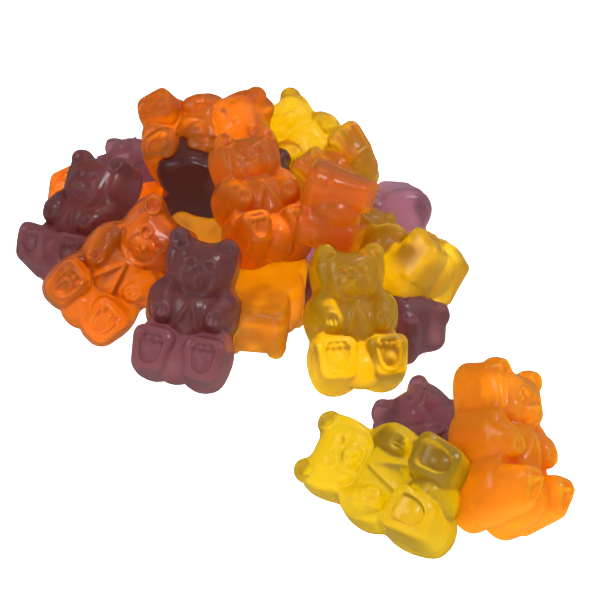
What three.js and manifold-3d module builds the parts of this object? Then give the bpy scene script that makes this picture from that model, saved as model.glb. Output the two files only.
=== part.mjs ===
// A loose heap of gummy bears with a group of three lying in front of it.
// Millimetres, +Z up, +X right, +Y away from the front. The floor is z = 0.
//
// Every sweet comes from the same mould. Its own axes are X across, Y towards the head and
// Z out of the modelled front; the flat back that faced the open side of the mould is at low Z.

import * as THREE from "three";
import { mergeVertices } from "three/addons/utils/BufferGeometryUtils.js";
import Module from "manifold-3d";

const wasm = await Module();
wasm.setup();

// ---- Driving dimensions of one bear ----------------------------------------------------

// The wall of the flat-backed slab, from the back to the front: levels and shares of the
// full outline. The back edge is rounded and the wall leans inwards towards the front.
const WALL = [
  { z: -5.5, share: 0.9 },
  { z: -4.2, share: 1.0 },
  { z: 0.6, share: 0.9 },
];
const OUTLINE_STEPS = 20;

// Half of the outline at the back, from the crown round to the crotch: half-width and height.
const OUTLINE = {
  crown: [0, 9.9],
  earInside: [2.1, 10.5],
  earTip: [3.9, 11.2],
  earOutside: [5.6, 9.5],
  cheek: [5.5, 6.7],
  neck: [4.8, 4.4],
  shoulder: [6.5, 2.6],
  elbow: [6.9, 0.2],
  waist: [6.1, -2.6],
  hip: [7.0, -4.9],
  shin: [6.8, -7.8],
  footSide: [5.7, -10.3],
  footTip: [3.5, -11.1],
  footInside: [1.5, -10.2],
  crotch: [0, -9.1],
};

// Domes on the front: centre and half-sizes.
const HEAD_DOME = { at: [0, 6.2, 0.2], size: [3.7, 3.1, 2.9] };
const BELLY = { at: [0, -1.6, 0.2], size: [3.5, 3.6, 2.5] };
const DOME_SIDES = 6;
const DOME_RINGS = 3;

// Blocks that taper towards the front: place, half-sizes at the front, the level of the front
// and of the root, the swell at the root, the number of sides and a turn in degrees.
const MUZZLE = { at: [0, 4.7], size: [1.4, 1.2], front: 4.3, root: 1.0, swell: 1.5, sides: 4, turn: 0 };
const ARM = { at: [4.2, 0.7], size: [1.8, 1.2], front: 4.6, root: -1.0, swell: 1.6, sides: 4, turn: 30 };
const LEG = { at: [3.6, -6.7], size: [2.4, 2.8], front: 5.5, root: -1.0, swell: 1.2, sides: 6, turn: 0 };

// Room left between two sweets that press on each other, and the block that stands for the
// floor, which cuts a small flat on a sweet that rests on it.
const CONTACT_GAP = 0.3;
const FLOOR_DEPTH = 20;
const FLOOR_SIDE = 200;

// ---- Finishes ----------------------------------------------------------------------------

const FLAVOUR = {
  orange: { color: 0xff6a0a, roughness: 0.35, metalness: 0 },
  tangerine: { color: 0xff8c0a, roughness: 0.35, metalness: 0 },
  lemon: { color: 0xf5c400, roughness: 0.35, metalness: 0 },
  amber: { color: 0xdc8c00, roughness: 0.35, metalness: 0 },
  grape: { color: 0x5a2238, roughness: 0.35, metalness: 0 },
};

// ---- How the sweets lie --------------------------------------------------------------------

// Middle of each sweet, then its heading, pitch and roll in degrees, and its size against
// the mould's. At 0, 0, 0 it lies on its back with its head away from the front. Heading
// turns it about the vertical, pitch lifts its head, and roll tips its front to its side.
// A sweet is laid against those listed before it, which keep their shape where they touch.
const LAYOUT = [
  ["grape_front", "grape", [-14, -22, 11.4], [-19, 50, 14], 0.98],
  ["lemon_front", "lemon", [8, -21.5, 10], [7, 45, 0], 0.94],
  ["orange_front_left", "orange", [-24.5, -10.5, 11], [-62, 35, 53], 0.98],
  ["grape_left", "grape", [-32, 4, 11], [-28, 43, -4], 0.97],
  ["orange_centre", "orange", [-5, -2, 18], [21, 40, 1], 0.94],
  ["grape_middle", "grape", [-10.8, 16.5, 11.3], [-90, 0, -80], 0.94],
  ["orange_top_left", "orange", [-14, 19.5, 18], [-95, 17, 37], 0.97],
  ["lemon_right", "lemon", [14.6, -3, 9.7], [40, 11, 40], 0.97],
  ["orange_block", "orange", [6.1, -0.5, 15.4], [-6, -22, 104], 0.9],
  ["lemon_top_right", "lemon", [2, 22, 14], [41, 19, -23], 1.0],
  ["grape_right_front", "grape", [11.7, -10.3, 6], [-135, -2, -6], 0.94],
  ["amber_middle", "amber", [-5.1, -12.5, 5.2], [-5, 178, 0], 0.95],
  ["grape_back_right", "grape", [10.5, 10, 5.6], [101, -3, 103], 0.92],
  ["amber_left", "amber", [-15.2, -3, 5.2], [178, 175, 10], 0.92],
  ["orange_behind_left", "orange", [-28.5, 16, 6], [-80, 0, 12], 0.95],
  ["grape_far_left", "grape", [-22.5, 33, 5.4], [80, 0, 0], 0.96],
  ["orange_back", "orange", [0, 26, 5.2], [70, 0, 0], 0.96],
  ["lemon_trio", "lemon", [10.5, -53, 8], [58, 4, -38], 0.96],
  ["orange_trio", "tangerine", [26, -51, 10.5], [-1, 37, 47], 0.94],
  ["grape_trio", "grape", [19.5, -41.5, 5.4], [42, 0, -4], 0.95],
];

// ---- Geometry helpers ----------------------------------------------------------------------

/** Turns a closed three.js geometry into a manifold solid with shared vertices. */
function toSolid(geometry) {
  const bare = geometry.index ? geometry.toNonIndexed() : geometry.clone();
  bare.deleteAttribute("normal");
  bare.deleteAttribute("uv");
  const merged = mergeVertices(bare, 1e-4);
  return new wasm.Manifold(
    new wasm.Mesh({
      numProp: 3,
      vertProperties: new Float32Array(merged.attributes.position.array),
      triVerts: new Uint32Array(merged.index.array),
    }),
  );
}

/** The triangles of the largest connected body of a mesh, without crumbs that a cut left. */
function largestBody({ triVerts, vertProperties, numProp }) {
  const joined = Array.from({ length: vertProperties.length / numProp }, (_, i) => i);
  const rootOf = (i) => {
    let root = i;
    while (joined[root] !== root) {
      root = joined[root];
    }
    return root;
  };
  for (let t = 0; t < triVerts.length; t += 3) {
    joined[rootOf(triVerts[t + 1])] = rootOf(triVerts[t]);
    joined[rootOf(triVerts[t + 2])] = rootOf(triVerts[t]);
  }
  const bodies = new Map();
  for (let t = 0; t < triVerts.length; t += 3) {
    const root = rootOf(triVerts[t]);
    bodies.set(root, [...(bodies.get(root) ?? []), ...triVerts.slice(t, t + 3)]);
  }
  return [...bodies.values()].sort((a, b) => b.length - a.length)[0];
}

/** Turns a manifold solid back into a three.js geometry. */
function toGeometry(solid) {
  const mesh = solid.getMesh();
  const geometry = new THREE.BufferGeometry();
  geometry.setAttribute("position", new THREE.BufferAttribute(mesh.vertProperties, mesh.numProp));
  geometry.setIndex(largestBody(mesh));
  return mergeVertices(geometry, 1e-4);
}

/** A faceted ellipsoid, larger all round by the margin. */
function dome({ at, size }, margin) {
  const geometry = new THREE.SphereGeometry(1, DOME_SIDES, DOME_RINGS);
  geometry.rotateX(Math.PI / 2);
  geometry.scale(...size.map((half) => half + margin));
  geometry.translate(...at);
  return toSolid(geometry);
}

/** A block with a flat front that swells towards its root; side -1 makes its mirror image. */
function block({ at, size, front, root, swell, sides, turn }, margin, side = 1) {
  const geometry = new THREE.CylinderGeometry(1, swell, front + margin - root, sides);
  geometry.rotateX(Math.PI / 2);
  geometry.rotateZ(Math.PI / sides);
  geometry.scale(size[0] + margin, size[1] + margin, 1);
  geometry.rotateZ(THREE.MathUtils.degToRad(turn * side));
  geometry.translate(at[0] * side, at[1], (front + margin + root) / 2);
  return toSolid(geometry);
}

// ---- The mould -----------------------------------------------------------------------------

/** The plate with the bear's outline, extruded in two steps and shaped to the wall's levels. */
function slab(margin) {
  const half = Object.values(OUTLINE).map(([x, y]) => new THREE.Vector3(x, y, 0));
  const mirrored = half.slice(1, -1).map((p) => new THREE.Vector3(-p.x, p.y, 0));
  const loop = [...half, ...mirrored.reverse()];
  const curve = new THREE.CatmullRomCurve3(loop, true, "centripetal");
  const points = curve.getSpacedPoints(OUTLINE_STEPS).slice(0, -1);
  const shape = new THREE.Shape(points.map((p) => new THREE.Vector2(p.x, p.y)));
  const steps = WALL.length - 1;
  const geometry = new THREE.ExtrudeGeometry(shape, { depth: steps, steps, bevelEnabled: false });
  const position = geometry.attributes.position;
  const proud = [-margin, 0, margin];
  for (let i = 0; i < position.count; i += 1) {
    const level = Math.round(position.getZ(i));
    const spread = WALL[level].share + margin / OUTLINE.neck[0];
    const z = WALL[level].z + proud[level];
    position.setXYZ(i, position.getX(i) * spread, position.getY(i) * spread, z);
  }
  return toSolid(geometry);
}

/** The whole bear as it leaves the mould, with its middle at the origin, or one that is
 *  larger all round by about the margin. */
function mouldedBear(margin) {
  let bear = slab(margin);
  bear = bear.add(dome(HEAD_DOME, margin)).add(dome(BELLY, margin)).add(block(MUZZLE, margin));
  for (const side of [-1, 1]) {
    bear = bear.add(block(ARM, margin, side)).add(block(LEG, margin, side));
  }
  return bear;
}

// ---- The heap ------------------------------------------------------------------------------

const bearGeometry = toGeometry(mouldedBear(0));
const keepOutGeometry = toGeometry(mouldedBear(CONTACT_GAP));

/** The bear, or the room that it keeps for itself, put in one place of the layout. */
function laid(geometry, [, , position, [heading, pitch, roll], size]) {
  const turn = new THREE.Euler(...[pitch, roll, heading].map(THREE.MathUtils.degToRad), "ZXY");
  const placing = new THREE.Matrix4().compose(
    new THREE.Vector3(...position),
    new THREE.Quaternion().setFromEuler(turn),
    new THREE.Vector3(size, size, size),
  );
  return toSolid(geometry.clone().applyMatrix4(placing));
}

const floorBlock = new THREE.BoxGeometry(FLOOR_SIDE, FLOOR_SIDE, FLOOR_DEPTH);
floorBlock.translate(0, 0, -FLOOR_DEPTH / 2);
const floor = toSolid(floorBlock);

const heap = new THREE.Group();
const laidBefore = [];
for (const row of LAYOUT) {
  const [name, flavour] = row;
  let bear = laid(bearGeometry, row).subtract(floor);
  for (const keepOut of laidBefore) {
    bear = bear.subtract(keepOut);
  }
  laidBefore.push(laid(keepOutGeometry, row));
  const mesh = new THREE.Mesh(toGeometry(bear), new THREE.MeshStandardMaterial(FLAVOUR[flavour]));
  mesh.name = name;
  heap.add(mesh);
}

// The origin is on the floor, under the middle of everything.
const bounds = new THREE.Box3().setFromObject(heap);
const middle = bounds.getCenter(new THREE.Vector3());
heap.position.set(-middle.x, -middle.y, -bounds.min.z);

export default heap;
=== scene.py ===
"""Finishes a loose heap of gummy bears, with a group of three lying in front of it.

Every bear is cast from a mould, turned and placed as the frame's solid lies, flattened where
it leans on the bears laid before it, and dressed as tinted, slightly cloudy jelly. Shapes are
worked out in millimetres and put into the frame in metres.
"""

import logging
import math
from dataclasses import dataclass, field
from enum import Enum

import bmesh
import bpy
import numpy as np
from mathutils import Matrix, Vector
from mathutils.bvhtree import BVHTree


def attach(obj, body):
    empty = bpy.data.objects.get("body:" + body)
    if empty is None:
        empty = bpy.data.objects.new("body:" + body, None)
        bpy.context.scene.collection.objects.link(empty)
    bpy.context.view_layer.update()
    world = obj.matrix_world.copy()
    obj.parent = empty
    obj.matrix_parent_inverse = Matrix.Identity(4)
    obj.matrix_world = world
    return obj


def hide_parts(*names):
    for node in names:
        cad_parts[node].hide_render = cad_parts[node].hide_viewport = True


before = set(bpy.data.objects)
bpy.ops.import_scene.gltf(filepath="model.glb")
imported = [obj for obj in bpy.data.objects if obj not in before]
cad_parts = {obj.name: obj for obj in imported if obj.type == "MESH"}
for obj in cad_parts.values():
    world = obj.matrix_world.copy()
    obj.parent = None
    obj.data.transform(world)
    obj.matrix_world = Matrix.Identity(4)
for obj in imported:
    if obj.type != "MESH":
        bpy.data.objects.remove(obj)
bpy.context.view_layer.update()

MM = 0.001
BOTH_SIDES = (-1, 1)
BUMP_POWER = 1.5
SMOOTHING_STEP = 0.5
LOG = logging.getLogger("gummy_bears")

Pair = tuple[float, float]
Triple = tuple[float, float, float]
Colour = tuple[float, float, float]


class Flavour(Enum):
    """The jelly that a bear is cast from."""

    ORANGE = "orange_jelly"
    # Orange jelly made lighter and clearer: painted light, for the orange bear that lies alone in
    # front and takes more light from the table.
    TANGERINE = "tangerine_jelly"
    LEMON = "lemon_jelly"
    GRAPE = "grape_jelly"
    # Lemon jelly darkened and turned orange: painted shade, with the painted cast of orange light that
    # the orange bears round it pass on.
    AMBER = "amber_jelly"


class Cast(Enum):
    """The moulds in the heap, told apart by the soles and by how crisp the relief is."""

    TOED = "toed"
    RINGED = "ringed"
    NARROW = "narrow"
    SMOOTH = "smooth"
    FAINT = "faint"


class Grain(Enum):
    """How fine a bear's mesh is, as the size of its cells in millimetres."""

    FINE = 0.19
    MEDIUM = 0.26
    PLAIN = 0.34


class LightingTint(Enum):
    """How much of each part of its flavour's colour a bear keeps.

    The shares paint light and shade: they darken a bear that would look too light where it lies, pale
    the lit top of one grape bear, and brown a grape bear for the orange light that passes into it, so
    that the bears of one flavour are lit and shaded copies of one material.
    """

    PURE = (1.0, 1.0, 1.0)
    MILD = (0.88, 0.87, 1.0)
    DEEP = (0.8, 0.75, 1.0)
    DARK = (0.7, 0.66, 1.0)
    GREENISH = (0.74, 0.82, 1.0)
    BROWNISH = (0.75, 0.5, 0.35)
    PALE = (1.6, 2.1, 2.4)


# ---- Marks pressed into the front, in the bear's own axes: X across, Y towards the head


@dataclass(frozen=True)
class Spot:
    """A round mark: its middle, its half-sizes and half the width of its rim."""

    at: Pair
    half: Pair
    rim: float = 0.2

    def bump(self, x: np.ndarray, y: np.ndarray) -> np.ndarray:
        """The mark as a soft bump of height 1.

        Args:
            x: points across the bear.
            y: points along the bear.

        Returns:
            The height at each point.
        """
        square = ((x - self.at[0]) / self.half[0]) ** 2 + ((y - self.at[1]) / self.half[1]) ** 2
        return np.clip(1.0 - square, 0.0, 1.0) ** BUMP_POWER

    def ring(self, x: np.ndarray, y: np.ndarray) -> np.ndarray:
        """The mark as a raised ring of height 1.

        Args:
            x: points across the bear.
            y: points along the bear.

        Returns:
            The height at each point.
        """
        reach = np.hypot((x - self.at[0]) / self.half[0], (y - self.at[1]) / self.half[1]) - 1.0
        return np.exp(-((reach * min(self.half) / self.rim) ** 2))


@dataclass(frozen=True)
class Line:
    """A straight mark: its ends and half its width."""

    start: Pair
    end: Pair
    width: float

    def ridge(self, x: np.ndarray, y: np.ndarray) -> np.ndarray:
        """The mark as a raised ridge of height 1.

        Args:
            x: points across the bear.
            y: points along the bear.

        Returns:
            The height at each point.
        """
        from_x, from_y = x - self.start[0], y - self.start[1]
        along_x = self.end[0] - self.start[0]
        along_y = self.end[1] - self.start[1]
        square = along_x**2 + along_y**2
        share = np.clip((from_x * along_x + from_y * along_y) / square, 0.0, 1.0)
        away = np.hypot(from_x - share * along_x, from_y - share * along_y)
        return np.exp(-((away / self.width) ** 2))


# ---- Shapes of the mould, in the same axes, with Z out of the front


@dataclass(frozen=True)
class Outline:
    """The body's outline and wall.

    places are half of the outline at the back, from the crown round to the crotch, and blur is
    the angle, in radians, over which it is evened out. wall gives levels from the back to the
    front and the share of the outline that each has. notches are the neck and the waist: a
    direction in degrees from the head, a half-width in degrees and how much deeper than the
    outline they are. They grow from nothing at notch_foot to that depth at notch_top, and
    mean_reach is the distance that their depth is compared with.
    """

    places: tuple[Pair, ...] = (
        (0.0, 10.1),
        (1.6, 10.3),
        (2.4, 10.9),
        (3.5, 11.2),
        (4.65, 10.75),
        (5.3, 9.6),
        (5.45, 8.2),
        (5.4, 6.7),
        (4.9, 4.6),
        (6.5, 2.6),
        (6.9, 0.2),
        (6.1, -2.6),
        (7.0, -4.9),
        (6.9, -7.8),
        (6.1, -10.2),
        (3.7, -11.1),
        (1.5, -10.5),
        (0.0, -9.5),
    )
    blur: float = 0.06
    wall: tuple[Pair, ...] = (
        (-5.5, 0.87),
        (-5.3, 0.925),
        (-4.8, 0.975),
        (-4.0, 1.0),
        (-1.6, 0.965),
        (0.5, 0.93),
        (1.2, 0.88),
        (1.7, 0.79),
    )
    notches: tuple[Triple, ...] = ((49.0, 7.0, 0.3), (112.0, 4.0, 0.45))
    notch_foot: float = -4.0
    notch_top: float = 1.0
    mean_reach: float = 6.5

    def reach(self, angle: float, level: float) -> float:
        """How far the wall lies from the middle.

        Args:
            angle: the direction, in radians from the head.
            level: the height above the slab's middle.

        Returns:
            The distance.
        """
        angles = [math.atan2(x, y) for x, y in self.places]
        reaches = [math.hypot(x, y) for x, y in self.places]
        steps = (-self.blur, 0.0, self.blur)
        spread = [np.interp(abs(angle + step), angles, reaches) for step in steps]
        share = np.interp(level, *zip(*self.wall))
        rise = max(0.0, (level - self.notch_foot) / (self.notch_top - self.notch_foot))
        for place, width, depth in self.notches:
            away = (math.degrees(angle) - place) / width
            share -= depth * rise / self.mean_reach * math.exp(-(away**2))
        return sum(spread) / len(spread) * share


@dataclass(frozen=True)
class Egg:
    """A rounded lump: its middle and half-sizes."""

    middle: Triple
    half: Triple


@dataclass(frozen=True)
class Stub:
    """A lump made of the skin stretched over rounds, each given as x, y, z and radius."""

    rounds: tuple[tuple[float, float, float, float], ...]


@dataclass(frozen=True)
class Sole:
    """Sizes of the plate on the end of a leg and of what is pressed into it.

    The plate's middle line is at x, and it runs from the toe line down to the heel. The leg's
    end is a rounded block that stands out round it by the margin, twice that beside the heel,
    and slopes from toe_level to heel_level. heel_power and toe_power say how square the
    plate's two ends are.

    rim_at and floor_at are where the rim's crest and the sunk floor lie, as shares of the way
    from the plate's middle to its edge. The toes stand toe_drop below the toe line, on toe_span
    of its width. The pad and its ring stand pad_rise above the heel, on pad_span of its
    width. pad and pad_ring are how strong each of the two is.
    """

    x: float = 3.6
    toe_line: float = -4.2
    heel: float = -9.3
    toe_half: float = 2.4
    heel_half: float = 1.6
    toe_level: float = 5.5
    heel_level: float = 4.4
    corner: float = 1.2
    margin: float = 0.35
    heel_power: float = 2.4
    toe_power: float = 4.0
    rim_at: float = 0.86
    rim_width: float = 0.22
    floor_at: float = 0.82
    floor_slope: float = 0.12
    toe_count: int = 4
    toe_size: float = 0.56
    toe_length: float = 1.1
    toe_drop: float = 0.55
    toe_span: float = 0.82
    pad: float = 1.0
    pad_rise: float = 1.9
    pad_span: float = 0.7
    pad_length: float = 1.2
    pad_ring: float = 0.0
    ring_span: float = 0.85
    ring_length: float = 1.1

    def half_width(self, y: np.ndarray) -> np.ndarray:
        """Half of the plate's width at each place along it."""
        share = np.clip((y - self.heel) / (self.toe_line - self.heel), 0.0, 1.0)
        return self.heel_half + (self.toe_half - self.heel_half) * share

    def nearness(self, x: np.ndarray, y: np.ndarray) -> np.ndarray:
        """How near to the plate's edge each point is.

        Args:
            x: points across the bear.
            y: points along the bear.

        Returns:
            0 in the plate's middle, 1 on its edge and more outside.
        """
        across = (x - self.x) / self.half_width(y)
        along = (y - (self.toe_line + self.heel) / 2) / ((self.toe_line - self.heel) / 2)
        power = np.where(along < 0.0, self.heel_power, self.toe_power)
        return (np.abs(across) ** power + np.abs(along) ** power) ** (1.0 / power)

    def toes(self, x: np.ndarray, y: np.ndarray) -> np.ndarray:
        """The row of toes.

        Args:
            x: points across the bear.
            y: points along the bear.

        Returns:
            The height at each point, with toes of height 1.
        """
        half = (self.toe_size, self.toe_size * self.toe_length)
        level = self.toe_line - self.toe_drop - self.toe_size
        row = np.linspace(-1.0, 1.0, self.toe_count) * (self.toe_half * self.toe_span - self.toe_size)
        return sum(Spot((self.x + place, level), half).bump(x, y) for place in row)

    def pads(self, x: np.ndarray, y: np.ndarray) -> np.ndarray:
        """The pad and the ring round it.

        Args:
            x: points across the bear.
            y: points along the bear.

        Returns:
            The height at each point, with a whole pad of height 1.
        """
        middle = (self.x, self.heel + self.pad_rise)
        width = self.heel_half * self.pad_span
        pad = Spot(middle, (width, self.pad_length)).bump(x, y)
        ring = Spot(middle, (width * self.ring_span, self.ring_length)).ring(x, y)
        return pad * self.pad + ring * self.pad_ring


EAR = Egg((3.45, 9.3, 0.1), (1.7, 1.7, 1.95))
MUZZLE = Egg((0.0, 4.1, 2.1), (1.75, 1.5, 1.85))
BELLY = Egg((0.0, -0.6, 0.4), (4.2, 4.7, 2.8))
LAP = Egg((0.0, -7.3, 0.2), (3.4, 3.5, 4.3))
HEAD = Stub(
    (
        (0.0, 5.8, -0.6, 3.9),
        (-1.8, 7.1, 0.3, 2.4),
        (1.8, 7.1, 0.3, 2.4),
        (-1.5, 4.6, 0.8, 2.4),
        (1.5, 4.6, 0.8, 2.4),
    )
)
ARM = Stub(((4.1, 1.1, -0.4, 2.5), (3.9, 0.1, 1.5, 1.95), (3.6, -1.1, 2.35, 1.55)))
LEG_ROOT = Stub(
    (
        (4.05, -8.1, -1.4, 2.6),
        (4.15, -5.3, -1.4, 2.55),
        (2.6, -8.0, -1.4, 2.35),
        (2.5, -5.8, -1.4, 2.2),
    )
)
SOLES = {
    Cast.TOED: Sole(),
    Cast.RINGED: Sole(
        heel=-9.1, toe_half=2.2, heel_half=1.4, toe_count=3, toe_size=0.62, pad=0.3, pad_ring=1.0
    ),
    Cast.NARROW: Sole(
        x=3.4, toe_line=-4.5, heel=-8.8, toe_half=1.75, heel_half=1.1, pad=0.2, pad_ring=1.0
    ),
    Cast.SMOOTH: Sole(heel_half=1.8, toe_count=0, pad=0.5),
    Cast.FAINT: Sole(toe_count=3),
}


@dataclass
class MouldShop:
    """Builds the shapes of one cast with bmesh operators and joins them to one skin.

    voxel is the size of the cells that join the shapes, and softness how much the skin is
    smoothed after that, in square millimetres. A leg is stretched over flat discs, which are
    wider than their radius at the back by the flare and narrower in front by the taper.
    """

    sole: Sole
    voxel: float
    outline: Outline = Outline()
    outline_sides: int = 144
    round_detail: int = 3
    disc_sides: int = 32
    disc_depth: float = 0.5
    disc_flare: float = 0.1
    disc_taper: float = 0.15
    softness: float = 0.5
    bm: bmesh.types.BMesh = field(default_factory=bmesh.new)

    def slab(self) -> None:
        """Adds the flat-backed body: a disc raised level by level and drawn to the outline."""
        levels = [level for level, _ in self.outline.wall]
        bmesh.ops.create_cone(
            self.bm,
            cap_ends=True,
            segments=self.outline_sides,
            radius1=1.0,
            radius2=1.0,
            depth=levels[-1] - levels[0],
            matrix=Matrix.Translation((0.0, 0.0, (levels[0] + levels[-1]) / 2)),
        )
        for level in levels[1:-1]:
            bmesh.ops.bisect_plane(
                self.bm,
                geom=[*self.bm.verts, *self.bm.edges, *self.bm.faces],
                plane_co=(0.0, 0.0, level),
                plane_no=(0.0, 0.0, 1.0),
            )
        for vert in self.bm.verts:
            angle = math.atan2(abs(vert.co.x), vert.co.y)
            vert.co.xy = vert.co.xy.normalized() * self.outline.reach(angle, vert.co.z)

    def egg(self, shape: Egg, side: int = 1) -> None:
        """Adds a rounded lump.

        Args:
            shape: sizes of the lump.
            side: 1 or -1, for the bear's left and right.
        """
        x, y, z = shape.middle
        place = Matrix.Translation((x * side, y, z)) @ Matrix.Diagonal((*shape.half, 1.0))
        bmesh.ops.create_icosphere(
            self.bm, subdivisions=self.round_detail, radius=1.0, matrix=place
        )

    def stub(self, shape: Stub, side: int = 1) -> None:
        """Adds a lump as the hull of its rounds.

        Args:
            shape: the rounds.
            side: 1 or -1, for the bear's left and right.
        """
        rounds = bmesh.new()
        for x, y, z, radius in shape.rounds:
            bmesh.ops.create_icosphere(
                rounds,
                subdivisions=self.round_detail,
                radius=radius,
                matrix=Matrix.Translation((x * side, y, z)),
            )
        self.hull(rounds)

    def leg(self, side: int) -> None:
        """Adds a leg, wide where it leaves the body and flat at the sole.

        Args:
            side: 1 or -1, for the bear's left and right.
        """
        sole = self.sole
        heel_out = sole.heel_half + 2.0 * sole.margin - sole.corner
        toe_out = sole.toe_half + sole.margin - sole.corner
        ends = (
            (heel_out, sole.heel - sole.margin + sole.corner, sole.heel_level),
            (toe_out, sole.toe_line + sole.margin - sole.corner, sole.toe_level),
        )
        corners = [
            (sole.x + way * out, y, level - self.disc_depth / 2, sole.corner)
            for out, y, level in ends
            for way in BOTH_SIDES
        ]
        rounds = bmesh.new()
        for x, y, z, radius in (*corners, *LEG_ROOT.rounds):
            bmesh.ops.create_cone(
                rounds,
                cap_ends=True,
                segments=self.disc_sides,
                radius1=radius + self.disc_flare,
                radius2=radius - self.disc_taper,
                depth=self.disc_depth,
                matrix=Matrix.Translation((x * side, y, z)),
            )
        self.hull(rounds)

    def hull(self, rounds: bmesh.types.BMesh) -> None:
        """Adds the skin stretched over loose rounds.

        Args:
            rounds: the rounds, which are used up.
        """
        verts = []
        for vert in rounds.verts:
            verts += bmesh.ops.create_vert(self.bm, co=vert.co)["vert"]
        rounds.free()
        made = bmesh.ops.convex_hull(self.bm, input=verts)
        spare = [g for g in made["geom_interior"] if isinstance(g, bmesh.types.BMVert)]
        bmesh.ops.delete(self.bm, geom=spare, context="VERTS")

    def bear(self) -> None:
        """Adds every shape of the bear."""
        self.slab()
        self.stub(HEAD)
        for shape in (MUZZLE, BELLY, LAP):
            self.egg(shape)
        for side in BOTH_SIDES:
            self.egg(EAR, side)
            self.stub(ARM, side)
            self.leg(side)
        bmesh.ops.recalc_face_normals(self.bm, faces=self.bm.faces)

    def skin(self) -> bpy.types.Mesh:
        """Joins the shapes into one closed, softened skin.

        Returns:
            The mesh of the plain bear, in millimetres.
        """
        self.bear()
        mesh = bpy.data.meshes.new("mould_shapes")
        self.bm.to_mesh(mesh)
        self.bm.free()
        holder = bpy.data.objects.new("mould_shapes", mesh)
        bpy.context.scene.collection.objects.link(holder)
        joiner = holder.modifiers.new("join", "REMESH")
        joiner.mode = "VOXEL"
        joiner.voxel_size = self.voxel
        joiner.use_smooth_shade = True
        softener = holder.modifiers.new("soften", "SMOOTH")
        softener.factor = SMOOTHING_STEP
        softener.iterations = round(self.softness / self.voxel**2)
        skin = baked(holder)
        bpy.data.objects.remove(holder)
        bpy.data.meshes.remove(mesh)
        return skin


def baked(piece: bpy.types.Object) -> bpy.types.Mesh:
    """The mesh of a piece with its modifiers worked in."""
    graph = bpy.context.evaluated_depsgraph_get()
    return bpy.data.meshes.new_from_object(piece.evaluated_get(graph))


def vectors(rows: bpy.types.bpy_prop_collection, name: str) -> np.ndarray:
    """Reads a vector of each row of a mesh.

    Args:
        rows: the mesh's vertices or their normals.
        name: the vector's name.

    Returns:
        An array with three columns.
    """
    flat = np.empty(len(rows) * 3)
    rows.foreach_get(name, flat)
    return flat.reshape(-1, 3)


# ---- Fine relief of the mould


NOSE = Spot((0.0, 4.45), (1.0, 0.6))
NOSE_GROOVE = Line((0.0, 4.2), (0.0, 3.5), 0.2)
MOUTH = Line((0.0, 3.4), (0.85, 2.8), 0.16)
CHEEK = Line((0.5, 3.9), (1.5, 3.4), 0.14)
EYE = Spot((1.45, 6.15), (0.6, 0.55))
BROW = Spot((1.45, 6.15), (0.8, 0.75))
SNOUT = Spot((0.0, 4.2), (2.0, 1.8), 0.3)
CHIN = Spot((0.0, 5.6), (4.1, 4.1), 0.35)
EAR_CUP = Spot((3.4, 9.3), (1.05, 1.05))
EAR_RIM = Spot((3.4, 9.3), (1.15, 1.15), 0.22)
PANEL_EDGE = Line((0.1, 0.9), (1.65, -3.0), 0.34)
PANEL_FLOOR = Spot((0.0, -1.9), (1.0, 1.7))
PALM = Spot((3.65, -1.0), (1.0, 0.9))
PALM_RIM = Spot((3.65, -1.0), (1.15, 1.05), 0.25)
FINGERS = tuple(
    Line((3.6 + place, -0.9), (3.6 + 1.3 * place, -2.0), 0.13) for place in (-0.5, 0.05, 0.6)
)


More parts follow.
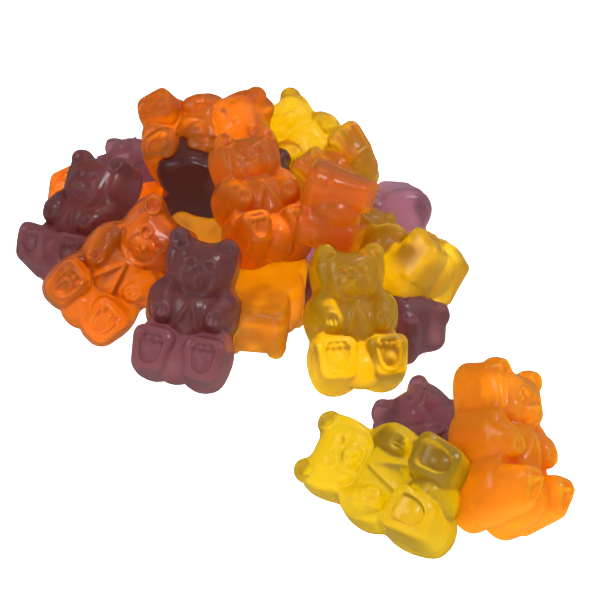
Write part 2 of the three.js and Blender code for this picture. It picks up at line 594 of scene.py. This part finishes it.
@dataclass(frozen=True)
class Relief:
    """Heights of the fine relief on the front, and where its parts end, in millimetres.

    share is how much of the whole relief is kept. groove, cheek and panel_sink are shares of
    the nose's, the mouth's and the panel's height. The head's marks lie above head_foot, the
    front's below front_top, and the sole's below sole_top and in front of sole_level. The
    belly's panel stays behind panel_level and within panel_side, and the chin's line under
    chin_top. Nothing behind back_level is pressed. The relief fades where the skin turns to
    the side: facing is the gain and the loss that turn the skin's slant into the share left.
    """

    share: float = 1.0
    eye: float = 0.28
    brow: float = 0.18
    nose: float = 0.5
    groove: float = 0.5
    mouth: float = 0.22
    cheek: float = 0.6
    chin: float = 0.35
    ear_cup: float = 0.5
    ear_rim: float = 0.3
    hand_cup: float = 0.4
    hand_rim: float = 0.12
    finger: float = 0.22
    panel: float = 0.3
    panel_sink: float = 0.8
    sole_rim: float = 0.22
    sole_floor: float = 0.36
    toe: float = 0.62
    pad: float = 0.4
    head_foot: float = 1.7
    front_top: float = 2.0
    sole_top: float = -3.4
    sole_level: float = 3.4
    panel_level: float = 3.3
    panel_side: float = 2.4
    chin_top: float = 4.2
    back_level: float = -0.8
    facing: Pair = (1.6, 0.2)

    def head(self, x: np.ndarray, y: np.ndarray) -> np.ndarray:
        """Eyes, brows, nose, mouth, chin and ears.

        Args:
            x: distances from the middle line.
            y: points along the bear.

        Returns:
            The height at each point.
        """
        nose = NOSE.bump(x, y) * self.nose + NOSE_GROOVE.ridge(x, y) * self.nose * self.groove
        mouth = MOUTH.ridge(x, y) + CHEEK.ridge(x, y) * self.cheek
        eye = EYE.bump(x, y) * self.eye
        brow = BROW.ring(x, y) * self.brow
        snout = SNOUT.ring(x, y) * self.brow
        chin = CHIN.ring(x, y) * (y < self.chin_top) * self.chin
        cup = EAR_CUP.bump(x, y) * self.ear_cup
        rim = EAR_RIM.ring(x, y) * self.ear_rim
        return nose - mouth * self.mouth - eye + brow - snout - chin - cup + rim

    def front(self, x: np.ndarray, y: np.ndarray, z: np.ndarray) -> np.ndarray:
        """The three-sided panel on the belly, the palms of the hands and their fingers.

        Args:
            x: distances from the middle line.
            y: points along the bear.
            z: their levels.

        Returns:
            The height at each point.
        """
        on_panel = (z < self.panel_level) & (x < self.panel_side)
        panel = PANEL_EDGE.ridge(x, y) - PANEL_FLOOR.bump(x, y) * self.panel_sink
        cup = PALM.bump(x, y) * self.hand_cup
        rim = PALM_RIM.ring(x, y) * self.hand_rim
        fingers = sum(finger.ridge(x, y) for finger in FINGERS)
        hand = (rim - cup - fingers * self.finger) * (x >= self.panel_side)
        return panel * self.panel * on_panel + hand

    def sole(self, x: np.ndarray, y: np.ndarray, sole: Sole) -> np.ndarray:
        """Rim, toes and pad of the sole plates.

        Args:
            x: distances from the middle line.
            y: points along the bear.
            sole: sizes of the sole plates.

        Returns:
            The height at each point.
        """
        edge = sole.nearness(x, y)
        crest = (edge - sole.rim_at) * sole.half_width(y) / sole.rim_width
        rim = np.exp(-(crest**2)) * self.sole_rim
        floor = np.clip((sole.floor_at - edge) / sole.floor_slope, 0.0, 1.0) * self.sole_floor
        return rim - floor + sole.toes(x, y) * self.toe + sole.pads(x, y) * self.pad

    def press(self, skin: bpy.types.Mesh, sole: Sole) -> None:
        """Moves the skin's points by the relief.

        Args:
            skin: the plain bear, in millimetres, which is changed.
            sole: sizes of the sole plates.
        """
        point = vectors(skin.vertices, "co")
        normal = vectors(skin.vertex_normals, "vector")
        gain, loss = self.facing
        facing = np.clip(normal[:, 2] * gain - loss, 0.0, 1.0)
        x, y, z = np.abs(point[:, 0]), point[:, 1], point[:, 2]
        height = np.where(y > self.head_foot, self.head(x, y), 0.0)
        height += np.where(y < self.front_top, self.front(x, y, z), 0.0)
        on_sole = (z > self.sole_level) & (y < self.sole_top)
        height = np.where(on_sole, self.sole(x, y, sole), height)
        point[:, 2] += height * facing * (z > self.back_level) * self.share
        skin.vertices.foreach_set("co", point.ravel())
        skin.update()


RELIEFS = {cast: Relief() for cast in Cast} | {Cast.FAINT: Relief(share=0.4)}


# ---- Finishes


@dataclass(frozen=True)
class StarchSkin:
    """The satin skin that a starch mould leaves, as a node group that all jellies share.

    grain and cloud are how fine its grain and its clouding are, per metre. The clouding's
    values from low to high give the roughness from smoothest to roughest. grain_share is how
    much the grain adds to the skin's height, and height the depth of the whole, in metres.
    """

    name: str = "starch_skin"
    grain: float = 2600.0
    grain_detail: float = 2.0
    grain_share: float = 0.35
    cloud: float = 260.0
    cloud_detail: float = 3.0
    low: float = 0.35
    high: float = 0.65
    smoothest: float = 0.36
    roughest: float = 0.46
    strength: float = 0.3
    height: float = 0.0002

    def group(self) -> bpy.types.NodeTree:
        """Makes the group, or finds the one made before.

        Returns:
            The group, which puts out the skin's height and its roughness.
        """
        if self.name in bpy.data.node_groups:
            return bpy.data.node_groups[self.name]
        group = bpy.data.node_groups.new(self.name, "ShaderNodeTree")
        for socket in ("Grain scale", "Cloud scale"):
            group.interface.new_socket(socket, in_out="INPUT", socket_type="NodeSocketFloat")
        for socket in ("Height", "Roughness"):
            group.interface.new_socket(socket, in_out="OUTPUT", socket_type="NodeSocketFloat")
        nodes, links = group.nodes, group.links
        entry = nodes.new("NodeGroupInput")
        leave = nodes.new("NodeGroupOutput")
        place = nodes.new("ShaderNodeTexCoord")
        grain = nodes.new("ShaderNodeTexNoise")
        cloud = nodes.new("ShaderNodeTexNoise")
        grain.inputs["Detail"].default_value = self.grain_detail
        cloud.inputs["Detail"].default_value = self.cloud_detail
        links.new(place.outputs["Object"], grain.inputs["Vector"])
        links.new(place.outputs["Object"], cloud.inputs["Vector"])
        links.new(entry.outputs["Grain scale"], grain.inputs["Scale"])
        links.new(entry.outputs["Cloud scale"], cloud.inputs["Scale"])
        both = nodes.new("ShaderNodeMath")
        both.operation = "MULTIPLY_ADD"
        both.inputs[1].default_value = self.grain_share
        links.new(grain.outputs["Fac"], both.inputs[0])
        links.new(cloud.outputs["Fac"], both.inputs[2])
        links.new(both.outputs[0], leave.inputs["Height"])
        spread = nodes.new("ShaderNodeMapRange")
        spread.inputs["From Min"].default_value = self.low
        spread.inputs["From Max"].default_value = self.high
        spread.inputs["To Min"].default_value = self.smoothest
        spread.inputs["To Max"].default_value = self.roughest
        links.new(cloud.outputs["Fac"], spread.inputs["Value"])
        links.new(spread.outputs["Result"], leave.inputs["Roughness"])
        return group

    def dress(self, tree: bpy.types.NodeTree, shader: bpy.types.Node) -> None:
        """Gives a shader the skin's roughness and relief.

        Args:
            tree: the material's nodes.
            shader: the shader among them.
        """
        skin = tree.nodes.new("ShaderNodeGroup")
        skin.node_tree = self.group()
        skin.inputs["Grain scale"].default_value = self.grain
        skin.inputs["Cloud scale"].default_value = self.cloud
        relief = tree.nodes.new("ShaderNodeBump")
        relief.inputs["Strength"].default_value = self.strength
        relief.inputs["Distance"].default_value = self.height
        tree.links.new(skin.outputs["Height"], relief.inputs["Height"])
        tree.links.new(relief.outputs["Normal"], shader.inputs["Normal"])
        tree.links.new(skin.outputs["Roughness"], shader.inputs["Roughness"])


@dataclass(frozen=True)
class Jelly:
    """The finish of one flavour.

    body is the colour of the jelly and clear the share of light that goes through it. stain is
    the colour that this light keeps, and depth how fast it loses the rest, per metre. wax is
    the thin film that the sweets are polished with. glow_depth is how far light spreads under
    the skin, in metres, and glow how much of that each colour does.
    """

    flavour: Flavour
    body: Colour
    stain: Colour
    depth: float
    clear: float
    refraction: float = 1.33
    shine: float = 0.2
    wax: float = 0.6
    wax_roughness: float = 0.13
    wax_refraction: float = 1.4
    glow: Colour = (1.0, 0.6, 0.25)
    glow_depth: float = 0.004
    skin: StarchSkin = StarchSkin()

    def material(self, tint: LightingTint) -> bpy.types.Material:
        """The flavour's material with the light and shade that a bear's tint paints on it, made once
        and kept.

        Args:
            tint: how much of each part of the colour is kept, which paints light and shade on the
                bear.

        Returns:
            The material.
        """
        name = f"{self.flavour.value}_{tint.name.lower()}"
        if name in bpy.data.materials:
            return bpy.data.materials[name]
        made = bpy.data.materials.new(name)
        made.use_nodes = True
        tree = made.node_tree
        shader = tree.nodes["Principled BSDF"]
        # The tint paints light and shade: it darkens or pales the body colour for the light that this
        # bear stands in.
        body = [min(1.0, part * kept) for part, kept in zip(self.body, tint.value)]
        settings = {
            "Base Color": (*body, 1.0),
            "IOR": self.refraction,
            "Specular IOR Level": self.shine,
            "Coat Weight": self.wax,
            "Coat Roughness": self.wax_roughness,
            "Coat IOR": self.wax_refraction,
            "Transmission Weight": self.clear,
            "Subsurface Weight": 1.0,
            "Subsurface Radius": self.glow,
            "Subsurface Scale": self.glow_depth,
        }
        for socket, value in settings.items():
            shader.inputs[socket].default_value = value
        self.skin.dress(tree, shader)
        inside = tree.nodes.new("ShaderNodeVolumeAbsorption")
        inside.inputs["Color"].default_value = (*self.stain, 1.0)
        inside.inputs["Density"].default_value = self.depth
        tree.links.new(inside.outputs["Volume"], tree.nodes["Material Output"].inputs["Volume"])
        return made


JELLIES = (
    Jelly(Flavour.ORANGE, (1.0, 0.28, 0.002), (1.0, 0.78, 0.05), 140.0, 0.68),
    # Painted light: the orange jelly made lighter and less absorbing, for the lone orange bear in
    # front.
    Jelly(Flavour.TANGERINE, (1.0, 0.33, 0.001), (1.0, 0.84, 0.02), 90.0, 0.45),
    Jelly(Flavour.LEMON, (0.88, 0.57, 0.001), (0.96, 0.87, 0.02), 160.0, 0.76),
    Jelly(Flavour.GRAPE, (0.27, 0.115, 0.135), (0.7, 0.39, 0.47), 175.0, 0.76),
    # Painted shade: lemon jelly darkened and turned orange, for yellow bears deep among the orange
    # ones.
    Jelly(Flavour.AMBER, (0.84, 0.39, 0.002), (0.96, 0.8, 0.03), 160.0, 0.72),
)


# ---- How the bears lie


@dataclass(frozen=True)
class Lie:
    """How one bear lies and looks; turn is its heading, pitch and roll in degrees."""

    node: str
    flavour: Flavour
    middle: Triple
    turn: Triple
    size: float
    cast: Cast = Cast.TOED
    grain: Grain = Grain.MEDIUM
    # Painted light and shade on this bear's colour.
    tint: LightingTint = LightingTint.PURE

    def placing(self, shift: Vector) -> Matrix:
        """Where the bear lies.

        Args:
            shift: the way from the layout's own middle to the frame's origin, in millimetres.

        Returns:
            The matrix from the mould's millimetres to the frame's metres.
        """
        heading, pitch, roll = (math.radians(a) for a in self.turn)
        turn = Matrix.Rotation(heading, 4, "Z") @ Matrix.Rotation(pitch, 4, "X")
        turn = turn @ Matrix.Rotation(roll, 4, "Y")
        place = Matrix.Translation((Vector(self.middle) + shift) * MM)
        return place @ turn @ Matrix.Scale(self.size * MM, 4)


ORANGE, TANGERINE, LEMON, GRAPE, AMBER = Flavour
RINGED, NARROW, SMOOTH, FAINT = Cast.RINGED, Cast.NARROW, Cast.SMOOTH, Cast.FAINT
FINE, PLAIN = Grain.FINE, Grain.PLAIN
# From the layout's own middle to the frame's origin, in millimetres, like the layout.
LAYOUT_SHIFT = Vector((3.858, 11.804, 0.0))
# The tints in this table are painted light and shade: MILD, DEEP, DARK and GREENISH darken bears with
# painted shade, PALE pales a grape bear's lit top with painted light, and BROWNISH browns a grape bear
# with the painted cast of orange light passing into it.
LIES = (
    Lie("grape_front", GRAPE, (-14, -22, 11.4), (-19, 50, 14), 0.98, grain=FINE),
    Lie("lemon_front", LEMON, (8, -21.5, 10), (7, 45, 0), 0.94, grain=FINE),
    Lie("orange_front_left", ORANGE, (-24.5, -10.5, 11), (-62, 35, 53), 0.98, RINGED, FINE, LightingTint.DARK),
    Lie("grape_left", GRAPE, (-32, 4, 11), (-28, 43, -4), 0.97),
    Lie("orange_centre", ORANGE, (-5, -2, 18), (21, 40, 1), 0.94, NARROW, FINE),
    Lie("grape_middle", GRAPE, (-10.8, 16.5, 11.3), (-90, 0, -80), 0.94, tint=LightingTint.BROWNISH),
    Lie("orange_top_left", ORANGE, (-14, 19.5, 18), (-95, 17, 37), 0.97, FAINT, tint=LightingTint.MILD),
    Lie("lemon_right", LEMON, (14.6, -3, 9.7), (40, 11, 40), 0.97, FAINT),
    Lie("orange_block", ORANGE, (6.1, -0.5, 15.4), (-6, -22, 104), 0.9, FAINT),
    Lie("lemon_top_right", LEMON, (2, 22, 14), (41, 19, -23), 1.0, FAINT, tint=LightingTint.MILD),
    Lie("grape_right_front", GRAPE, (11.7, -10.3, 6), (-135, -2, -6), 0.94),
    Lie("amber_middle", AMBER, (-5.1, -12.5, 5.2), (-5, 178, 0), 0.95),
    Lie("grape_back_right", GRAPE, (10.5, 10, 5.6), (101, -3, 103), 0.92, grain=PLAIN, tint=LightingTint.PALE),
    Lie("amber_left", AMBER, (-15.2, -3, 5.2), (178, 175, 10), 0.92, tint=LightingTint.DEEP),
    Lie("orange_behind_left", ORANGE, (-28.5, 16, 6), (-80, 0, 12), 0.95, grain=PLAIN),
    Lie("grape_far_left", GRAPE, (-22.5, 33, 5.4), (80, 0, 0), 0.96, grain=PLAIN),
    Lie("orange_back", ORANGE, (0, 26, 5.2), (70, 0, 0), 0.96, grain=PLAIN),
    Lie("lemon_trio", LEMON, (10.5, -53, 8), (58, 4, -38), 0.96, SMOOTH, FINE, LightingTint.GREENISH),
    Lie("orange_trio", TANGERINE, (26, -51, 10.5), (-1, 37, 47), 0.94, NARROW, FINE),
    Lie("grape_trio", GRAPE, (19.5, -41.5, 5.4), (42, 0, -4), 0.95),
)


@dataclass(frozen=True)
class Softness:
    """How far a soft sweet strays from its mould, in millimetres, and how it is smoothed.

    bend is the most that its ends, half_length from its middle, curve off line, and
    bend_middle the share of it by which the whole moves back. swell is the most that it is
    larger or smaller, as a share. ripple is the height of the waves in its skin, and
    ripple_rate how close they are. A flattened place is smoothed smooth_rounds times, and the
    skin within spread_rounds points of it too, the more the higher spread_gain is.
    """

    half_length: float = 11.0
    bend: float = 0.35
    bend_middle: float = 0.4
    swell: float = 0.03
    ripple: float = 0.12
    ripple_rate: float = 0.38
    spread_rounds: int = 3
    spread_gain: float = 1.5
    smooth_rounds: int = 12

    def stray(self, point: np.ndarray, rng: np.random.Generator) -> np.ndarray:
        """Bends, swells and ripples a bear a little.

        Args:
            point: the bear's points in millimetres.
            rng: the bear's own random numbers.

        Returns:
            The moved points.
        """
        reach = point[:, 1] / self.half_length
        bend = rng.uniform(-self.bend, self.bend, 2)
        swell = rng.uniform(-self.swell, self.swell, 3)
        moved = point * (1.0 + swell)
        moved[:, 0] += bend[0] * reach**2
        moved[:, 2] += bend[1] * (reach**2 - self.bend_middle)
        phase = rng.uniform(0.0, math.tau, 3)
        wave = np.sin(point @ rng.normal(0.0, self.ripple_rate, (3, 3)) + phase)
        return moved + wave * self.ripple

    def smooth(self, point: np.ndarray, edges: np.ndarray, pressed: np.ndarray) -> None:
        """Smooths a bear round the places where it was flattened.

        Args:
            point: the bear's points, which are moved.
            edges: pairs of joined points.
            pressed: which points lie on a flattened place.
        """
        weight = pressed.astype(float)
        count = np.maximum(np.bincount(edges.ravel(), minlength=len(point)), 1)
        for _ in range(self.spread_rounds):
            spread = self.spread_gain * beside(weight, edges) / count
            weight = np.maximum(weight, np.minimum(1.0, spread))
        for _ in range(self.smooth_rounds):
            mean = np.stack([beside(column, edges) / count for column in point.T], axis=1)
            point += (mean - point) * (SMOOTHING_STEP * weight)[:, None]


def beside(value: np.ndarray, edges: np.ndarray) -> np.ndarray:
    """Adds up what lies beside each point.

    Args:
        value: a number for each point.
        edges: pairs of joined points.

    Returns:
        For each point, the sum of the numbers of the points that it is joined to.
    """
    total = np.bincount(edges[:, 0], value[edges[:, 1]], len(value))
    total += np.bincount(edges[:, 1], value[edges[:, 0]], len(value))
    return total


@dataclass
class Heap:
    """All the bears, laid one after another so that each leans on those before it.
    """

    shift: Vector
    contact: float = 0.08
    floor: float = 0.02
    touch: float = 0.01
    quick_coarseness: float = 1.6
    table: Pair = (0.4, 0.1)
    seed: int = 11
    softness: Softness = Softness()
    casts: dict[tuple[Cast, Grain], bpy.types.Mesh] = field(default_factory=dict)
    rooms: list[bpy.types.Object] = field(default_factory=list)
    trees: list[BVHTree] = field(default_factory=list)

    def table_block(self) -> None:
        """Puts a block where the table is, which every bear is flattened on."""
        side, depth = self.table
        place = Matrix.Translation((0.0, 0.0, self.floor * MM - depth / 2))
        bm = bmesh.new()
        bmesh.ops.create_cube(bm, size=1.0, matrix=place @ Matrix.Diagonal((side, side, depth, 1.0)))
        self.add_room(bm)

    def add_room(self, bm: bmesh.types.BMesh) -> None:
        """Keeps a shape that later bears stay out of.

        Args:
            bm: the shape, which is used up.
        """
        mesh = bpy.data.meshes.new("room")
        bm.to_mesh(mesh)
        self.trees.append(BVHTree.FromBMesh(bm))
        bm.free()
        room = bpy.data.objects.new("room", mesh)
        bpy.context.scene.collection.objects.link(room)
        self.rooms.append(room)

    def cast_mesh(self, cast: Cast, grain: Grain) -> bpy.types.Mesh:
        """The finished skin of a cast, moulded once and kept.

        Args:
            cast: which mould.
            grain: how fine the mesh is.

        Returns:
            The mesh, in millimetres.
        """
        key = (cast, grain)
        if key not in self.casts:
            voxel = grain.value * 1.0
            skin = MouldShop(SOLES[cast], voxel).skin()
            RELIEFS[cast].press(skin, SOLES[cast])
            self.casts[key] = skin
        return self.casts[key]

    def room_box(self, index: int) -> tuple[np.ndarray, np.ndarray]:
        """The lowest and highest corner of a room."""
        corners = np.array([corner[:] for corner in self.rooms[index].bound_box])
        return corners.min(axis=0), corners.max(axis=0)

    def near(self, piece: bpy.types.Object) -> list[int]:
        """Finds the rooms that a piece may reach into.

        Args:
            piece: the piece.

        Returns:
            The places in the list of rooms of those whose boxes meet the piece's.
        """
        point = vectors(piece.data.vertices, "co")
        low, high = point.min(axis=0), point.max(axis=0)
        found = []
        for index in range(len(self.rooms)):
            room_low, room_high = self.room_box(index)
            if np.all(room_high > low) and np.all(room_low < high):
                found.append(index)
        return found

    def pressed(self, point: np.ndarray, near: list[int]) -> np.ndarray:
        """Finds the points that lie on a room's skin, where a piece was flattened.

        Args:
            point: the piece's points.
            near: the rooms that it may touch.

        Returns:
            Whether each point does.
        """
        found = np.zeros(len(point), bool)
        slack = 0.1 * MM
        for index in near:
            low, high = self.room_box(index)
            inside = np.all((point > low - slack) & (point < high + slack), axis=1)
            for i in np.flatnonzero(inside & ~found):
                found[i] = self.trees[index].find_nearest(point[i], self.touch * MM)[0] is not None
        return found

    def flatten(self, piece: bpy.types.Object) -> None:
        """Cuts a piece back to the bears and the table that it leans on and rounds the edges.

        Args:
            piece: the piece, whose mesh is changed.
        """
        near = self.near(piece)
        for index in near:
            tool = piece.modifiers.new("contact", "BOOLEAN")
            tool.operation = "DIFFERENCE"
            tool.solver = "MANIFOLD"
            tool.object = self.rooms[index]
        cut = baked(piece)
        piece.modifiers.clear()
        piece.data = cut
        point = vectors(cut.vertices, "co")
        edges = np.empty(len(cut.edges) * 2, int)
        cut.edges.foreach_get("vertices", edges)
        self.softness.smooth(point, edges.reshape(-1, 2), self.pressed(point, near))
        point[:, 2] = np.maximum(point[:, 2], self.floor * MM)
        cut.vertices.foreach_set("co", point.ravel())
        cut.update()

    def lay(self, lie: Lie, finish: bpy.types.Material) -> bpy.types.Object:
        """Lays one bear and dresses it.

        Args:
            lie: how it lies.
            finish: its material.

        Returns:
            The finished piece.
        """
        mesh = self.cast_mesh(lie.cast, lie.grain).copy()
        rng = np.random.default_rng(self.seed + len(self.rooms))
        place = np.array(lie.placing(self.shift))
        point = self.softness.stray(vectors(mesh.vertices, "co"), rng)
        point = point @ place[:3, :3].T + place[:3, 3]
        mesh.vertices.foreach_set("co", point.ravel())
        piece = bpy.data.objects.new(lie.node + "_bear", mesh)
        bpy.context.scene.collection.objects.link(piece)
        self.flatten(piece)
        bm = bmesh.new()
        bm.from_mesh(piece.data)
        for vert in bm.verts:
            vert.co += vert.normal * self.contact * MM
        self.add_room(bm)
        piece.data.name = piece.name
        piece.data.materials.clear()
        piece.data.materials.append(finish)
        piece.data.shade_smooth()
        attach(piece, "root")
        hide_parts(lie.node)
        LOG.info("%s: %d faces", piece.name, len(piece.data.polygons))
        return piece

    def clear(self) -> None:
        """Takes away the rooms."""
        for room in self.rooms:
            bpy.data.objects.remove(room)
        self.rooms.clear()


# ---- The studio


@dataclass(frozen=True)
class TableWhite:
    """The finish of the table, which glows so that the bears are lit from below as well.

    A glossy skin mirrors the table darker than it is, because its glow would wash out the
    highlights: dimming is the share of the glow that it leaves out there, and mirrored_white
    the table's own white there.
    """

    glow: float = 1.5
    dimming: float = 0.97
    roughness: float = 0.8
    white: float = 0.9
    mirrored_white: float = 0.1

    def material(self) -> bpy.types.Material:
        """Makes the material.

        Returns:
            The material.
        """
        made = bpy.data.materials.new("floor_white")
        made.use_nodes = True
        nodes, links = made.node_tree.nodes, made.node_tree.links
        shader = nodes["Principled BSDF"]
        shader.inputs["Roughness"].default_value = self.roughness
        shader.inputs["Emission Color"].default_value = (1.0, 1.0, 1.0, 1.0)
        path = nodes.new("ShaderNodeLightPath")
        mirrored = nodes.new("ShaderNodeMath")
        mirrored.operation = "MULTIPLY"
        links.new(path.outputs["Is Glossy Ray"], mirrored.inputs[0])
        links.new(path.outputs["Is Reflection Ray"], mirrored.inputs[1])
        dim = nodes.new("ShaderNodeMath")
        dim.operation = "MULTIPLY_ADD"
        dim.inputs[1].default_value = -self.glow * self.dimming
        dim.inputs[2].default_value = self.glow
        links.new(mirrored.outputs[0], dim.inputs[0])
        links.new(dim.outputs[0], shader.inputs["Emission Strength"])
        shade = nodes.new("ShaderNodeMix")
        shade.data_type = "RGBA"
        shade.inputs["A"].default_value = (*[self.white] * 3, 1.0)
        shade.inputs["B"].default_value = (*[self.mirrored_white] * 3, 1.0)
        links.new(mirrored.outputs[0], shade.inputs["Factor"])
        links.new(shade.outputs["Result"], shader.inputs["Base Color"])
        return made


@dataclass(frozen=True)
class Softbox:
    """A soft square light that faces the heap, in degrees, metres and watts.

    azimuth is where it hangs, from the front towards the right, and elevation its height.
    mirrored says whether glossy skins show it.
    """

    name: str
    azimuth: float
    elevation: float
    size: float
    power: float
    mirrored: bool = True
    distance: float = 0.8

    def hang(self, target: Vector) -> None:
        """Hangs the light.

        Args:
            target: the place that it faces.
        """
        data = bpy.data.lights.new(self.name, "AREA")
        data.size = self.size
        data.energy = self.power
        light = bpy.data.objects.new(self.name, data)
        light.visible_glossy = self.mirrored
        bpy.context.scene.collection.objects.link(light)
        side, lift = math.radians(self.azimuth), math.radians(self.elevation)
        level = math.cos(lift)
        way = Vector((math.sin(side) * level, -math.cos(side) * level, math.sin(lift)))
        light.location = target + way * self.distance
        light.rotation_euler = way.to_track_quat("Z", "Y").to_euler()


SOFTBOXES = (
    Softbox("key", 120.0, 52.0, 0.6, 1.8, mirrored=False),
    Softbox("front", -10.0, 7.0, 0.5, 3.4, mirrored=False),
    Softbox("fill", 45.0, 55.0, 0.16, 1.3),
    Softbox("side", -60.0, 50.0, 0.3, 1.0),
    Softbox("spark", 150.0, 62.0, 0.1, 0.4),
)


@dataclass
class Studio:
    """The white table, the soft lights and the camera.

    target is the place that the camera and the lights face. The lens and the sensor are in
    millimetres, elevation in degrees and the rest in metres. sky is the strength of the plain
    white world.
    """

    target: Vector
    distance: float = 0.235
    elevation: float = 32.0
    lens: float = 95.2
    sensor: float = 36.0
    nearest: float = 0.01
    table_reach: float = 3.0
    sky: float = 0.2

    def table(self) -> None:
        """Lays the plain white table top."""
        bm = bmesh.new()
        bmesh.ops.create_grid(bm, x_segments=1, y_segments=1, size=self.table_reach)
        mesh = bpy.data.meshes.new("floor")
        bm.to_mesh(mesh)
        bm.free()
        mesh.materials.append(TableWhite().material())
        floor = bpy.data.objects.new("floor", mesh)
        bpy.context.scene.collection.objects.link(floor)

    def world(self) -> None:
        """Fills the world with an even, weak white."""
        world = bpy.data.worlds.new("studio")
        world.use_nodes = True
        background = world.node_tree.nodes["Background"]
        background.inputs["Color"].default_value = (1.0, 1.0, 1.0, 1.0)
        background.inputs["Strength"].default_value = self.sky
        bpy.context.scene.world = world

    def camera(self) -> None:
        """Sets the camera at its height and distance."""
        data = bpy.data.cameras.new("camera")
        data.lens = self.lens
        data.sensor_width = self.sensor
        data.clip_start = self.nearest
        camera = bpy.data.objects.new("camera", data)
        bpy.context.scene.collection.objects.link(camera)
        lift = math.radians(self.elevation)
        way = Vector((0.0, -math.cos(lift), math.sin(lift)))
        camera.location = self.target + way * self.distance
        camera.rotation_euler = way.to_track_quat("Z", "Y").to_euler()
        bpy.context.scene.camera = camera

    def build(self) -> None:
        """Builds the table, the lights, the world and the camera."""
        self.table()
        for softbox in SOFTBOXES:
            softbox.hang(self.target)
        self.world()
        self.camera()
        bpy.context.scene.view_settings.view_transform = "Standard"


def main() -> None:
    """Builds the bears and the studio and reports them."""
    logging.basicConfig(level=logging.INFO, format="%(name)s: %(message)s")
    jellies = {jelly.flavour: jelly for jelly in JELLIES}
    heap = Heap(LAYOUT_SHIFT)
    heap.table_block()
    for lie in LIES:
        heap.lay(lie, jellies[lie.flavour].material(lie.tint))
    heap.clear()
    Studio(LAYOUT_SHIFT * MM).build()


if __name__ == "__main__":
    main()
